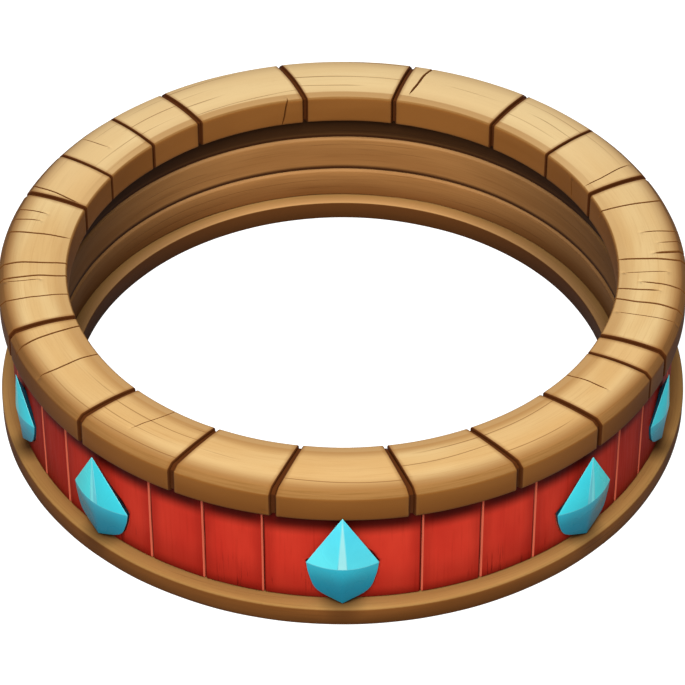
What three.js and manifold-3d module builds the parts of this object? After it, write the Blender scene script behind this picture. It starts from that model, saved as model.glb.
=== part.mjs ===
// Thick wooden juggling ring, built up like a small barrel and glued together.
// A base ring carries a hidden core ring. Three thin hoops line the core's inside and red
// planks clad its outside. A deck ring is tongued onto the core, and rim blocks saddle it.
// Faceted gems sit in shallow pockets in the wider planks.
//
// Millimetres, +Z up. The origin is on the ring's axis, on the underside of the base ring.
// Angles are in degrees about +Z. Angle 0 is the front, at -Y, and 90 is at +X.
import * as THREE from 'three';
import { ConvexGeometry } from 'three/addons/geometries/ConvexGeometry.js';
import { mergeVertices } from 'three/addons/utils/BufferGeometryUtils.js';
import Module from 'manifold-3d';

const wasm = await Module();
wasm.setup();

// ---- Driving dimensions ----

const outerDiameter = 320;      // the base ring's outside, the widest part
const baseInnerRadius = 126;
const baseThickness = 10;
const glueGap = 0.3;            // left open between any two glued pieces
const facetAngle = 5;           // one facet of every turned or bent surface
const edgeBreak = 0.8;          // small chamfer on the base ring's and hoops' edges

const wallTop = 60.1;           // underside of the deck ring and rim blocks
const hoopOuterRadius = 137.2;
const hoopInnerRadius = 132.2;  // the lowest hoop's
const hoopStep = 0.9;           // each higher hoop sits back by this
const lowerHoopTop = 25.6;
const middleHoopTop = 44.7;
const plankOuterRadius = 153.4;
const plankThickness = 6.4;
const plankJoint = 0.4;         // gap between neighbouring planks

const rimInnerRadius = 126;
const rimOuterRadius = 157.6;
const rimOuterShoulder = 72.7;  // heights where the rim's chamfers start
const rimInnerShoulder = 74.8;
const rimOuterChamfer = 2.65;   // width and rise of the outer chamfer
const rimInnerChamfer = 4.2;    // width of the inner one, which rises to the same height
const rimCrown = 0.8;           // rise of the rim's top between its chamfers
const rimCrownSteps = 4;
const rimLip = 4;               // thickness of the lips that hang over the deck ring
const deckTop = 70.4;
const openJoint = 1.9;          // wide joint between rim blocks, on the rim's middle line
const closeJoint = 0.8;         // narrow joint between rim blocks
const jointDepth = 1.3;         // how deep a joint is, down to the lap that one block puts in it
const lapRoot = 2;              // how far a lap reaches back into its own block

const tongueHeight = 3;
const tongueWidth = 6.4;

const gemHalfWidth = 15.9;      // the front gem's
const gemCrestProud = 5.7;      // how far the waist's middle stands out from the planks
const gemSideProud = 0.6;       // and its two ends
const gemWaistSteps = 3;        // facets on each half of the waist
// Facet corners of the front gem: [distance to the side, out from the planks, above its waist].
const gemApex = [0, 5, 30];
const gemTip = [0, 3.7, -22.2];
const gemLowerSides = [
  [14.6, 0.8, -7.6],
  [11, 1.6, -15.9],
];
// Corners of its flat back: [distance to the side, above its waist].
const gemBackCorners = [
  [0, 11.4],
  [15.2, 0],
  [10.5, -15.4],
  [0, -21.2],
];
const gemPocketDepth = 1.3;     // how far the gem's back is let into its plank

// ---- Layout around the ring ----

// Plank joints over one quarter of the ring, which is mirrored to the other three.
const quarterPlankJoints = [12.85, 23.1, 33.1, 52.9, 60.9, 75.1];
// Gems from the front to the middle of one side. Mirrored to the other quarters. Width and
// height are shares of the front gem's, and waist is how high the gem's widest line is.
const quarterGems = [
  { angle: 0, width: 1, height: 1, waist: 32.8 },
  { angle: 43.9, width: 1.07, height: 0.9, waist: 30.6 },
  { angle: 69.3, width: 0.82, height: 0.75, waist: 32.2 },
];
// Rim joints all the way round, from the front towards +X. Each joint's angle is on the rim's
// middle line. Its lean is how much further round its outer end is than its inner end.
const rimJoints = [
  { angle: 9.6, lean: 2.6, width: openJoint },
  { angle: 27.2, lean: 3.3, width: openJoint },
  { angle: 44.4, lean: 1.6, width: openJoint },
  { angle: 59.6, lean: 0, width: closeJoint },
  { angle: 65.5, lean: 0, width: openJoint },
  { angle: 113.5, lean: 0.6, width: openJoint },
  { angle: 129.6, lean: 0, width: closeJoint },
  { angle: 145, lean: -0.5, width: openJoint },
  { angle: 167.8, lean: -1.7, width: openJoint },
  { angle: 190.1, lean: 3.7, width: openJoint },
  { angle: 213.8, lean: 1.6, width: openJoint },
  { angle: 225.8, lean: 0, width: closeJoint },
  { angle: 239.6, lean: -0.6, width: closeJoint },
  { angle: 251.5, lean: -0.9, width: openJoint },
  { angle: 288.6, lean: 0.8, width: openJoint },
  { angle: 313.9, lean: -1, width: openJoint },
  { angle: 333.4, lean: -2.5, width: openJoint },
  { angle: 350.5, lean: -2.9, width: openJoint },
];

// ---- Worked-out dimensions ----

const outerRadius = outerDiameter / 2;
const plankInnerRadius = plankOuterRadius - plankThickness;
const coreOuterRadius = plankInnerRadius - glueGap;
const coreInnerRadius = hoopOuterRadius + glueGap;
const coreMiddleRadius = (coreInnerRadius + coreOuterRadius) / 2;
const wallFoot = baseThickness + glueGap;
const wallHead = wallTop - glueGap;
const rimMiddleRadius = (rimInnerRadius + rimOuterRadius) / 2;
const rimTopEdge = rimOuterShoulder + rimOuterChamfer;
const deckInnerRadius = rimInnerRadius + rimLip + glueGap;
const deckOuterRadius = rimOuterRadius - rimLip - glueGap;

// ---- Materials ----

function wood(colour, roughness) {
  return new THREE.MeshStandardMaterial({ color: colour, roughness, metalness: 0 });
}

const rimWood = wood(0xd9ae72, 0.6);
const hoopWood = wood(0x8f6238, 0.65);
const baseWood = wood(0x9a6a38, 0.65);
const innerWood = wood(0x6b4522, 0.75);
const redPaint = wood(0xb92b20, 0.55);
const gemAcrylic = new THREE.MeshStandardMaterial({ color: 0x4fcfe0, roughness: 0.2, metalness: 0 });

// ---- Shape helpers ----

/** A full ring turned about +Z from corner points [radius, height], listed anticlockwise. */
function turnedRing(corners) {
  const profile = [...corners, corners[0]].map(([radius, height]) => new THREE.Vector2(radius, height));
  const ring = new THREE.LatheGeometry(profile, 360 / facetAngle);
  ring.rotateX(Math.PI / 2);
  return ring;
}

/** An arc of a horizontal circle on the rim's middle line, centred on the front. */
class RingArc extends THREE.Curve {
  constructor(span) {
    super();
    this.span = THREE.MathUtils.degToRad(span);
  }

  angleAt(t) {
    return (t - 0.5) * this.span;
  }

  getPoint(t, target = new THREE.Vector3()) {
    const angle = this.angleAt(t);
    return target.set(Math.sin(angle), -Math.cos(angle), 0).multiplyScalar(rimMiddleRadius);
  }

  getTangent(t, target = new THREE.Vector3()) {
    const angle = this.angleAt(t);
    return target.set(Math.cos(angle), Math.sin(angle), 0);
  }
}

/** Corner points [radius, height] swept along an arc that spans an angle about the front. */
function sweptSegment(corners, span) {
  // Along this arc a shape's x runs downwards and its y runs towards the ring's axis.
  const section = new THREE.Shape(
    corners.map(([radius, height]) => new THREE.Vector2(-height, rimMiddleRadius - radius)),
  );
  return new THREE.ExtrudeGeometry(section, {
    extrudePath: new RingArc(span),
    steps: Math.ceil(span / facetAngle),
    bevelEnabled: false,
  });
}

function toSolid(geometry) {
  const bare = geometry.clone();
  bare.deleteAttribute('normal');
  bare.deleteAttribute('uv');
  const merged = mergeVertices(bare);
  return new wasm.Manifold(new wasm.Mesh({
    numProp: 3,
    vertProperties: new Float32Array(merged.attributes.position.array),
    triVerts: new Uint32Array(merged.index.array),
  }));
}

function toGeometry(solid) {
  const mesh = solid.getMesh();
  const geometry = new THREE.BufferGeometry();
  geometry.setAttribute('position', new THREE.BufferAttribute(mesh.vertProperties, 3));
  geometry.setIndex(new THREE.BufferAttribute(mesh.triVerts, 1));
  return geometry;
}

/** The angle in degrees that a width covers at a radius. */
function angleOf(width, radius) {
  return THREE.MathUtils.radToDeg(width / radius);
}

const ring = new THREE.Group();

function addPiece(name, geometry, material, angle = 0) {
  const piece = new THREE.Mesh(geometry, material);
  piece.name = name;
  piece.rotation.z = THREE.MathUtils.degToRad(angle);
  ring.add(piece);
}

function numbered(prefix, index) {
  return `${prefix}_${String(index + 1).padStart(2, '0')}`;
}

// ---- Turned rings ----

/** Flat base with a groove on top for the core ring's lower tongue. */
function baseRing() {
  const groove = tongueWidth / 2 + glueGap;
  return turnedRing([
    [baseInnerRadius, 0],
    [outerRadius - edgeBreak, 0],
    [outerRadius, edgeBreak],
    [outerRadius, baseThickness - edgeBreak],
    [outerRadius - edgeBreak, baseThickness],
    [coreMiddleRadius + groove, baseThickness],
    [coreMiddleRadius + groove, baseThickness - tongueHeight],
    [coreMiddleRadius - groove, baseThickness - tongueHeight],
    [coreMiddleRadius - groove, baseThickness],
    [baseInnerRadius, baseThickness],
  ]);
}

/** Hidden ring that carries the wall, with a tongue at the bottom and one at the top. */
function coreRing() {
  const halfTongue = tongueWidth / 2;
  return turnedRing([
    [coreMiddleRadius - halfTongue, wallFoot - tongueHeight],
    [coreMiddleRadius + halfTongue, wallFoot - tongueHeight],
    [coreMiddleRadius + halfTongue, wallFoot],
    [coreOuterRadius, wallFoot],
    [coreOuterRadius, wallHead],
    [coreMiddleRadius + halfTongue, wallHead],
    [coreMiddleRadius + halfTongue, wallHead + tongueHeight],
    [coreMiddleRadius - halfTongue, wallHead + tongueHeight],
    [coreMiddleRadius - halfTongue, wallHead],
    [coreInnerRadius, wallHead],
    [coreInnerRadius, wallFoot],
    [coreMiddleRadius - halfTongue, wallFoot],
  ]);
}

/** Ring under the rim blocks, with a groove below for the core ring's upper tongue. */
function deckRing() {
  const groove = tongueWidth / 2 + glueGap;
  return turnedRing([
    [deckInnerRadius, wallTop],
    [coreMiddleRadius - groove, wallTop],
    [coreMiddleRadius - groove, wallTop + tongueHeight],
    [coreMiddleRadius + groove, wallTop + tongueHeight],
    [coreMiddleRadius + groove, wallTop],
    [deckOuterRadius, wallTop],
    [deckOuterRadius, deckTop],
    [deckInnerRadius, deckTop],
  ]);
}

/** Thin lining hoop with a broken upper inside edge. */
function liningHoop(innerRadius, foot, head) {
  return turnedRing([
    [innerRadius, foot],
    [hoopOuterRadius, foot],
    [hoopOuterRadius, head],
    [innerRadius + edgeBreak, head],
    [innerRadius, head - edgeBreak],
  ]);
}

// ---- Rim blocks ----

/**
 * Section of a rim block: a crowned saddle whose lips hang over the deck ring. Its outside is
 * set in by one distance and its inside by another.
 */
function rimSection(outsideInset = 0, insideInset = 0) {
  const inner = rimInnerRadius + outsideInset;
  const outer = rimOuterRadius - outsideInset;
  const lip = rimLip - insideInset;
  const foot = wallTop + insideInset;
  const roof = deckTop + glueGap + insideInset;
  const topInner = inner + rimInnerChamfer;
  const topOuter = outer - rimOuterChamfer;
  const crown = [];
  for (let step = 0; step <= rimCrownSteps; step += 1) {
    const across = 1 - (2 * step) / rimCrownSteps;
    const radius = (topInner + topOuter + across * (topOuter - topInner)) / 2;
    crown.push([radius, rimTopEdge - outsideInset + rimCrown * (1 - across * across)]);
  }
  return [
    [rimOuterRadius - lip, foot],
    [outer, foot],
    [outer, rimOuterShoulder - outsideInset],
    ...crown,
    [inner, rimInnerShoulder - outsideInset],
    [inner, foot],
    [rimInnerRadius + lip, foot],
    [rimInnerRadius + lip, roof],
    [rimOuterRadius - lip, roof],
  ];
}

/** A swept segment whose ends lean: each point turns about +Z by a share of the lean there. */
function leaningSegment(corners, span, startLean, endLean) {
  const segment = sweptSegment(corners, span);
  const places = segment.attributes.position;
  const point = new THREE.Vector3();
  const upwards = new THREE.Vector3(0, 0, 1);
  for (let index = 0; index < places.count; index += 1) {
    point.fromBufferAttribute(places, index);
    const along = THREE.MathUtils.radToDeg(Math.atan2(point.x, -point.y)) / span + 0.5;
    const lean = THREE.MathUtils.lerp(startLean, endLean, along);
    const out = (Math.hypot(point.x, point.y) - rimMiddleRadius) / (rimOuterRadius - rimInnerRadius);
    point.applyAxisAngle(upwards, THREE.MathUtils.degToRad(lean * out));
    places.setXYZ(index, point.x, point.y, point.z);
  }
  return segment;
}

/**
 * A rim block between two joints, turned so that its middle is at the front. A lap on its end
 * fills most of the next joint.
 */
function rimBlock(span, startLean, end) {
  const block = toSolid(leaningSegment(rimSection(), span, startLean, end.lean));
  const root = angleOf(lapRoot, rimMiddleRadius);
  const reach = angleOf(end.width - glueGap, rimMiddleRadius);
  const lapSection = rimSection(jointDepth, glueGap);
  const lap = toSolid(leaningSegment(lapSection, root + reach, end.lean, end.lean));
  return toGeometry(block.add(lap.rotate([0, 0, (span + reach - root) / 2])));
}

function addRimBlocks() {
  rimJoints.forEach((end, index) => {
    const start = rimJoints[(index + rimJoints.length - 1) % rimJoints.length];
    const startAngle = start.angle > end.angle ? start.angle - 360 : start.angle;
    const from = startAngle + angleOf(start.width, rimMiddleRadius) / 2;
    const to = end.angle - angleOf(end.width, rimMiddleRadius) / 2;
    const block = rimBlock(to - from, start.lean, end);
    addPiece(numbered('rim_block', index), block, rimWood, (from + to) / 2);
  });
}

// ---- Gems and planks ----

/** Corners of the gem's waist on one side, which bows out towards its middle. */
function gemWaistCorners() {
  const corners = [];
  for (let step = 0; step <= gemWaistSteps; step += 1) {
    const across = step / gemWaistSteps;
    const proud = gemCrestProud - (gemCrestProud - gemSideProud) * across * across;
    corners.push([gemHalfWidth * across, proud, 0]);
  }
  return corners;
}

/**
 * A faceted drop at the front of the ring, with its flat back let into the planks. Growth
 * widens it all round by that much.
 */
function gemShape({ width, height, waist }, growth = 0) {
  const wider = width + growth / gemHalfWidth;
  const taller = height + growth / gemHalfWidth;
  const front = [gemApex, gemTip, ...gemLowerSides, ...gemWaistCorners()];
  const frontCorners = front.map(([across, proud, above]) => [across, proud * height, above]);
  const back = gemBackCorners.map(([across, above]) => [across, -gemPocketDepth - growth, above]);
  const oneSide = [...frontCorners, ...back];
  const otherSide = oneSide.map(([across, proud, above]) => [-across, proud, above]);
  const corners = [...oneSide, ...otherSide].map(([across, proud, above]) => new THREE.Vector3(
    across * wider,
    -plankOuterRadius - proud,
    waist + above * taller,
  ));
  return new ConvexGeometry(corners);
}

/** The layout of all the gems, from the front towards +X. */
function gemLayout() {
  const half = [
    ...quarterGems,
    ...quarterGems.map((gem) => ({ ...gem, angle: 180 - gem.angle })).reverse(),
  ];
  const twins = half.slice(1, -1).map((gem) => ({ ...gem, angle: 360 - gem.angle }));
  return [...half, ...twins.reverse()];
}

function plankJointAngles() {
  const half = [
    ...quarterPlankJoints,
    90,
    ...quarterPlankJoints.map((angle) => 180 - angle).reverse(),
  ];
  return [...half, ...half.map((angle) => 360 - angle).reverse()];
}

/** A plank about a middle angle, with a pocket cut for a gem. */
function withPocket(plank, gem, middle) {
  const pocket = toSolid(gemShape(gem, glueGap)).rotate([0, 0, gem.angle - middle]);
  return toGeometry(toSolid(plank).subtract(pocket));
}

function addPlanks(gems) {
  const section = [
    [plankInnerRadius, wallFoot],
    [plankOuterRadius, wallFoot],
    [plankOuterRadius, wallHead],
    [plankInnerRadius, wallHead],
  ];
  const joints = plankJointAngles();
  joints.forEach((end, index) => {
    const start = index === 0 ? joints[joints.length - 1] - 360 : joints[index - 1];
    const middle = (start + end) / 2;
    const plank = sweptSegment(section, end - start - angleOf(plankJoint, plankOuterRadius));
    const gem = gems.find(({ angle }) => Math.abs(angle - middle) < facetAngle / 2);
    const shape = gem ? withPocket(plank, gem, middle) : plank;
    addPiece(numbered('red_plank', index), shape, redPaint, middle);
  });
}

function addGems(gems) {
  gems.forEach((gem, index) => {
    addPiece(numbered('gem', index), gemShape(gem), gemAcrylic, gem.angle);
  });
}

// ---- Assembly ----

const halfGap = glueGap / 2;
addPiece('base_ring', baseRing(), baseWood);
addPiece('core_ring', coreRing(), innerWood);
addPiece('deck_ring', deckRing(), innerWood);
const hoops = [
  { name: 'lower_hoop', foot: wallFoot, head: lowerHoopTop - halfGap },
  { name: 'middle_hoop', foot: lowerHoopTop + halfGap, head: middleHoopTop - halfGap },
  { name: 'upper_hoop', foot: middleHoopTop + halfGap, head: wallHead },
];
hoops.forEach(({ name, foot, head }, level) => {
  addPiece(name, liningHoop(hoopInnerRadius + level * hoopStep, foot, head), hoopWood);
});
addRimBlocks();
const gems = gemLayout();
addPlanks(gems);
addGems(gems);

export default ring;
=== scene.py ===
"""Looks for a thick wooden juggling ring: block rim, red plank wall, lining hoops and gems.

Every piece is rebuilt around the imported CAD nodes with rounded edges, cracks and procedural
materials. Lengths are in metres. Angle 0 is the front of the ring, at -Y, and angles grow
towards +X.
"""
import math
from collections import namedtuple

import bmesh
import bpy
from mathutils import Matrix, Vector, noise


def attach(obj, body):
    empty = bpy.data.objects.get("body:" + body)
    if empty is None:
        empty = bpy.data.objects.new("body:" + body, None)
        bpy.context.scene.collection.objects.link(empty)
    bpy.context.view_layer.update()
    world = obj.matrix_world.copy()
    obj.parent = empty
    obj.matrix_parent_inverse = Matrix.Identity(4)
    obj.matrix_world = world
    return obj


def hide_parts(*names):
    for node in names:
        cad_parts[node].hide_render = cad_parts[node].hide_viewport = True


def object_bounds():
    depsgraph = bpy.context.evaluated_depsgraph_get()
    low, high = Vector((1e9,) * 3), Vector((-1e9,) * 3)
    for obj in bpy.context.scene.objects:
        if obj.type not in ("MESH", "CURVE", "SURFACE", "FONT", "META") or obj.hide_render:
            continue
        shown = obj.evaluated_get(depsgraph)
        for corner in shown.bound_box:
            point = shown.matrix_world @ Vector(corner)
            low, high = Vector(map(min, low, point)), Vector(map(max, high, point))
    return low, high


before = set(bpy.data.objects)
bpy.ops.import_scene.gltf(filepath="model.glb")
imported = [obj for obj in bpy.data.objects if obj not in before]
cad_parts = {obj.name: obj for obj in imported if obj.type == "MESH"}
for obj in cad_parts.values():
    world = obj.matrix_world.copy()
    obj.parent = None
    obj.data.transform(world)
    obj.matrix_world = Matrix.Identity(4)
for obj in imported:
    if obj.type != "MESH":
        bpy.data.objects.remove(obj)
cad_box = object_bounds()

MM = 0.001
DEG = math.pi / 180
TURN = 2 * math.pi
TOLERANCE = 0.05 * MM

# ---- Finish sizes ----

STATION_STEP = 1.0 * DEG        # one step along a bent or turned piece
BLOCK_END_ROUND = 0.6 * MM      # rounding of a rim block's ends
BLOCK_CORNER_ROUND = 1.4 * MM   # rounding of a block's section, no less than its lap is deep
LIP_ROUND = 0.4 * MM
PLANK_EDGE_ROUND = 0.8 * MM     # rounding of a plank's upright edges
PLANK_CORNER_ROUND = 0.9 * MM   # rounding of its foot and head, no less than that
PLANK_SWELL = 0.12 * MM         # how far each plank's edge swells into its joint
END_ROUND_STEPS = 4
ARC_STEP = 20 * DEG             # one step around a small rounded corner
CROWN_STEPS = 12
SHARP_ANGLE = 50 * DEG          # a steeper edge than this isn't shaded smooth
GEM_SHARP_ANGLE = 20 * DEG
GROOVE_ROUND = 0.2 * MM
HIDDEN_ROUND = 0.3 * MM         # corners that other pieces cover
SURFACE_WAVE = 0.12 * MM        # hand-finished unevenness of the wood
WAVES_PER_METRE = 45
JOINT_WAVE = 0.25 * MM          # unevenness along a joint
CRACK_TAPER = 0.3               # share of a block's width over which a crack fades out
CRACK_FLOOR = 0.3               # width of a crack's floor, as a share of the crack's
CRACK_LEAST = 0.05 * MM         # half width of a crack where it has faded out
CRACK_WANDER = 0.35 * DEG       # how far a crack strays from a straight line
GEM_STRIP = 0.13                # half width of a gem's front strip, painted pale as a highlight, as a share of the gem's
GEM_ROUND_STEPS = 5             # steps around each rounded part of a gem
GEM_ARRIS = 0.2 * MM            # broken edges of the gems
GEM_BACK_RISE = 0.38            # how far up from the waist a gem's flat back reaches
POCKET_GAP = 0.5 * MM
GEM_SHADE_REACH = 12 * MM       # how far the painted shadow under a gem spreads over the base ring

# Facet numbers of a gem, which its material reads. They are negative on the left side.
BELLY, UPPER, STRIP, FLANK, BACK = 0.2, 1, 2, 3, 4

# ---- Cracks in the rim ----

# Each crack: angle in degrees, where it starts and stops across the block, width and depth in
# mm, and how far in degrees it leans. Across a block, -1 is the inner shoulder and 1 the outer
# one, -2 is the foot of the inner face and 2 the foot of the outer one.
RIM_CRACKS = [
    (-67.8, -1.3, 1.1, 0.9, 0.9, 1.2),
    (-58.9, -1.2, 1.0, 0.7, 0.7, 0.4),
    (-37.5, -1.2, 0.4, 0.4, 0.5, -3.5),
    (-79.2, -1.3, 1.2, 0.7, 0.5, -0.8),
    (-84.0, -0.3, 0.9, 0.4, 0.4, -0.4),
    (-85.1, -1.4, 1.3, 1.0, 0.7, 0.3),
    (-89.1, -1.3, 1.3, 1.0, 0.7, 0.4),
    (-97.7, -1.0, 1.2, 0.9, 0.7, 0.3),
    (-101.3, 0.0, 1.2, 0.6, 0.5, 0.5),
    (-103.7, -0.1, 1.1, 0.6, 0.5, 0.2),
    (-109.9, -0.8, 1.1, 0.8, 0.6, -1.6),
    (-167.5, -2.1, -0.8, 1.0, 0.9, -2.6),
    (164.7, -0.7, 1.5, 1.2, 1.0, -1.5),
    (117.0, -1.0, 0.8, 0.6, 0.6, 1.6),
    (121.0, -2.0, -1.1, 1.0, 0.9, 0.3),
    (106.8, -1.3, 1.2, 0.9, 0.8, -1.2),
    (98.0, -0.2, 1.3, 0.6, 0.7, -0.5),
    (94.5, 0.2, 1.4, 0.5, 0.6, 1.2),
    (91.7, 0.0, 1.6, 1.5, 1.0, 1.4),
    (90.2, -1.1, 1.4, 1.1, 1.0, -1.0),
    (86.3, -0.9, 0.5, 0.4, 0.5, 0.3),
    (83.1, -0.4, 1.3, 0.8, 0.8, -2.0),
    (81.0, -1.2, 0.3, 0.9, 0.7, -0.3),
    (77.3, -1.3, 1.2, 1.0, 0.9, -1.0),
    (73.5, -0.9, 1.0, 0.35, 0.4, -0.2),
    (52.0, -1.2, 0.4, 0.6, 0.7, 0.6),
    (-127.0, -0.2, 0.9, 0.35, 0.4, 1.8),
]

# ---- Reading the frame ----


def node_points(node):
    """(angle, radius, height) of each vertex of a CAD node."""
    points = []
    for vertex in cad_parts[node].data.vertices:
        x, y, z = vertex.co
        points.append((math.atan2(x, -y), math.hypot(x, y), z))
    return points


def nodes_called(prefix):
    """Names of the CAD nodes that start with a prefix, in order."""
    return sorted(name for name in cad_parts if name.startswith(prefix))


def angle_span(node, least_radius=0.0, most_radius=math.inf):
    """(first angle, last angle) that a CAD node covers around the ring between two radii."""
    angles = [
        angle for angle, radius, _ in node_points(node) if least_radius < radius < most_radius
    ]
    middle = math.atan2(sum(map(math.sin, angles)), sum(map(math.cos, angles)))
    offsets = [math.remainder(angle - middle, TURN) for angle in angles]
    return middle + min(offsets), middle + max(offsets)


def radii_and_heights(node):
    """(inner radius, outer radius, foot, head) of a CAD node."""
    points = node_points(node)
    radii = [radius for _, radius, _ in points]
    heights = [height for _, _, height in points]
    return min(radii), max(radii), min(heights), max(heights)


def shoulder_heights(node):
    """Heights where the chamfers of a CAD rim block start, on the inside and the outside."""
    inner, outer, _, _ = radii_and_heights(node)
    points = node_points(node)
    return (
        max(height for _, radius, height in points if radius < inner + TOLERANCE),
        max(height for _, radius, height in points if radius > outer - TOLERANCE),
    )


def chamfer_top(node):
    """The radius at which the inner chamfer of a CAD rim block meets its crown."""
    above = max(shoulder_heights(node)) + TOLERANCE
    return min(radius for _, radius, height in node_points(node) if height > above)


# ---- Outlines ----


def corner_arc(before, corner, after, fillet):
    """Points of the arc that rounds a corner, from the side of before to the side of after."""
    middle = Vector(corner)
    if fillet == 0:
        return [middle]
    towards = (Vector(before) - middle).normalized()
    away = (Vector(after) - middle).normalized()
    opening = math.acos(towards.dot(away))
    centre = middle + (towards + away).normalized() * fillet / math.sin(opening / 2)
    first = middle + towards * fillet / math.tan(opening / 2) - centre
    last = middle + away * fillet / math.tan(opening / 2) - centre
    sweep = math.atan2(first.x * last.y - first.y * last.x, first.dot(last))
    start = math.atan2(first.y, first.x)
    steps = max(2, round(abs(sweep) / ARC_STEP))
    arc = []
    for step in range(steps + 1):
        turn = start + sweep * step / steps
        arc.append(centre + Vector((math.cos(turn), math.sin(turn))) * fillet)
    return arc


def rounded_outline(corners, spacing):
    """A closed outline from corners (radius, height, fillet), with straight runs divided."""
    count = len(corners)
    arcs = []
    for index, (radius, height, fillet) in enumerate(corners):
        before = corners[index - 1][:2]
        after = corners[(index + 1) % count][:2]
        arcs.append(corner_arc(before, (radius, height), after, fillet))
    outline = []
    for index, arc in enumerate(arcs):
        outline.extend(arc)
        start = arc[-1]
        end = arcs[(index + 1) % count][0]
        parts = max(1, round((end - start).length / spacing))
        outline.extend(start.lerp(end, part / parts) for part in range(1, parts))
    return outline


def outline_normals(outline):
    """The outward normal at each point of an outline listed anticlockwise."""
    normals = []
    for index, point in enumerate(outline):
        along = outline[(index + 1) % len(outline)] - outline[index - 1]
        normals.append(Vector((along.y, -along.x)).normalized())
    return normals


# ---- Meshes ----


def at(angle, radius, height):
    """The point at an angle and a radius around the ring's axis, and at a height."""
    return Vector((radius * math.sin(angle), -radius * math.cos(angle), height))


def surface_wave(point, seed):
    """Small smooth unevenness of a wooden surface at a point."""
    scaled = point * WAVES_PER_METRE + Vector((seed * 7.3, seed * 3.1, 0))
    return SURFACE_WAVE * noise.noise(scaled)


def add_values(mesh, label, values):
    """Adds a number for each vertex, which the materials read by its label."""
    mesh.attributes.new(label, "FLOAT", "POINT").data.foreach_set("value", values)


def new_piece(node, suffix, vertices, faces, material, attributes=None):
    """Adds a mesh object that stands for a CAD node and rides on the ring's only body."""
    name = node + suffix
    mesh = bpy.data.meshes.new(name)
    mesh.from_pydata(vertices, [], faces)
    for label, values in (attributes or {}).items():
        add_values(mesh, label, values)
    mesh.shade_smooth()
    mesh.validate()
    piece = bpy.data.objects.new(name, mesh)
    bpy.context.scene.collection.objects.link(piece)
    mesh.materials.append(material)
    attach(piece, "root")
    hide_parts(node)
    return piece


def band_faces(rings, count, closed):
    """Quads between neighbouring rings of count points each, back to the first if closed."""
    faces = []
    for ring in range(rings if closed else rings - 1):
        here = ring * count
        there = (ring + 1) % rings * count
        for index in range(count):
            after = (index + 1) % count
            faces.append((here + index, there + index, there + after, here + after))
    return faces


def turned_piece(node, corners, material, spacing=1.5 * MM):
    """A full ring turned from corners (radius, height, fillet)."""
    outline = rounded_outline(corners, spacing)
    normals = outline_normals(outline)
    steps = round(TURN / STATION_STEP)
    seed = len(node)
    vertices = []
    for step in range(steps):
        angle = step * STATION_STEP
        for point, normal in zip(outline, normals):
            wave = surface_wave(at(angle, point.x, point.y), seed)
            vertices.append(at(angle, point.x + normal.x * wave, point.y + normal.y * wave))
    faces = band_faces(steps, len(outline), closed=True)
    foot = min(point.y for point in outline)
    above = [(vertex.z - foot) / MM for vertex in vertices]
    piece = new_piece(node, "_turned", vertices, faces, material, {"foot_mm": above})
    piece.data.set_sharp_from_angle(angle=SHARP_ANGLE)
    return piece


# One cross-section of a swept piece: its angle as a function of the place across the piece, how
# far it is pulled in, the crack that it is part of, and 1 if it is on that crack's floor.
Station = namedtuple("Station", "angle inset crack floor", defaults=(0.0, None, 0.0))


def crack_strength(crack, across):
    """1 in the middle of a crack's reach, fading to 0 at its ends."""
    if across is None:
        return 0.0
    first, last = crack["reach"]
    inside = min(across - first, last - across)
    share = max(0.0, min(1.0, inside / CRACK_TAPER))
    return share * share * (3 - 2 * share)


def crack_line(crack, across):
    """The angle of a crack's middle line at a place across the piece."""
    first, last = crack["reach"]
    place = 0.0 if across is None else max(first, min(last, across))
    wander = noise.noise(Vector((place * 1.3, crack["angle"] * 9, 0)))
    return crack["angle"] + crack["lean"] * place / 2 + wander * CRACK_WANDER


def crack_stations(crack, radius):
    """Stations that cut one crack: two on its edges and two on its floor."""
    half_width = crack["width"] / 2 / radius
    least = CRACK_LEAST / radius
    stations = []
    for share, floor in ((-1, 0), (-CRACK_FLOOR, 1), (CRACK_FLOOR, 1), (1, 0)):
        def angle(across, share=share):
            width = least + half_width * crack_strength(crack, across)
            return crack_line(crack, across) + share * width
        stations.append(Station(angle, crack=crack, floor=floor))
    return stations


def end_stations(angle, direction, rounding, radius, seed):
    """Stations that round one end of a swept piece, from the end face inwards."""
    stations = []
    for step in range(END_ROUND_STEPS + 1):
        turn = step / END_ROUND_STEPS * math.pi / 2
        inwards = rounding * (1 - math.cos(turn))
        inset = rounding * (1 - math.sin(turn))

        def place(across, inwards=inwards):
            wave = noise.noise(Vector(((across or 0) * 2.1, seed, 0))) * JOINT_WAVE
            return angle + direction * (inwards + abs(wave)) / radius
        stations.append(Station(place, inset=inset))
    return stations


def between(first, last, step):
    """Plain stations between two others, evenly spread."""
    gap = last.angle(0) - first.angle(0)
    parts = max(1, math.ceil(gap / step))
    stations = []
    for part in range(1, parts):
        share = part / parts

        def angle(across, share=share):
            return first.angle(across) * (1 - share) + last.angle(across) * share
        stations.append(Station(angle))
    return stations


def swept_stations(start, end, radius, rounding, cracks, seed):
    """All stations of a swept piece, from its first end face to its last."""
    cracks = sorted(cracks, key=lambda crack: crack["angle"])
    groups = [end_stations(start, 1, rounding, radius, seed)]
    groups += [crack_stations(crack, radius) for crack in cracks]
    groups.append(end_stations(end, -1, rounding, radius, seed + 0.5)[::-1])
    stations = list(groups[0])
    for previous, group in zip(groups, groups[1:]):
        stations.extend(between(previous[-1], group[0], STATION_STEP))
        stations.extend(group)
    return stations


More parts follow.
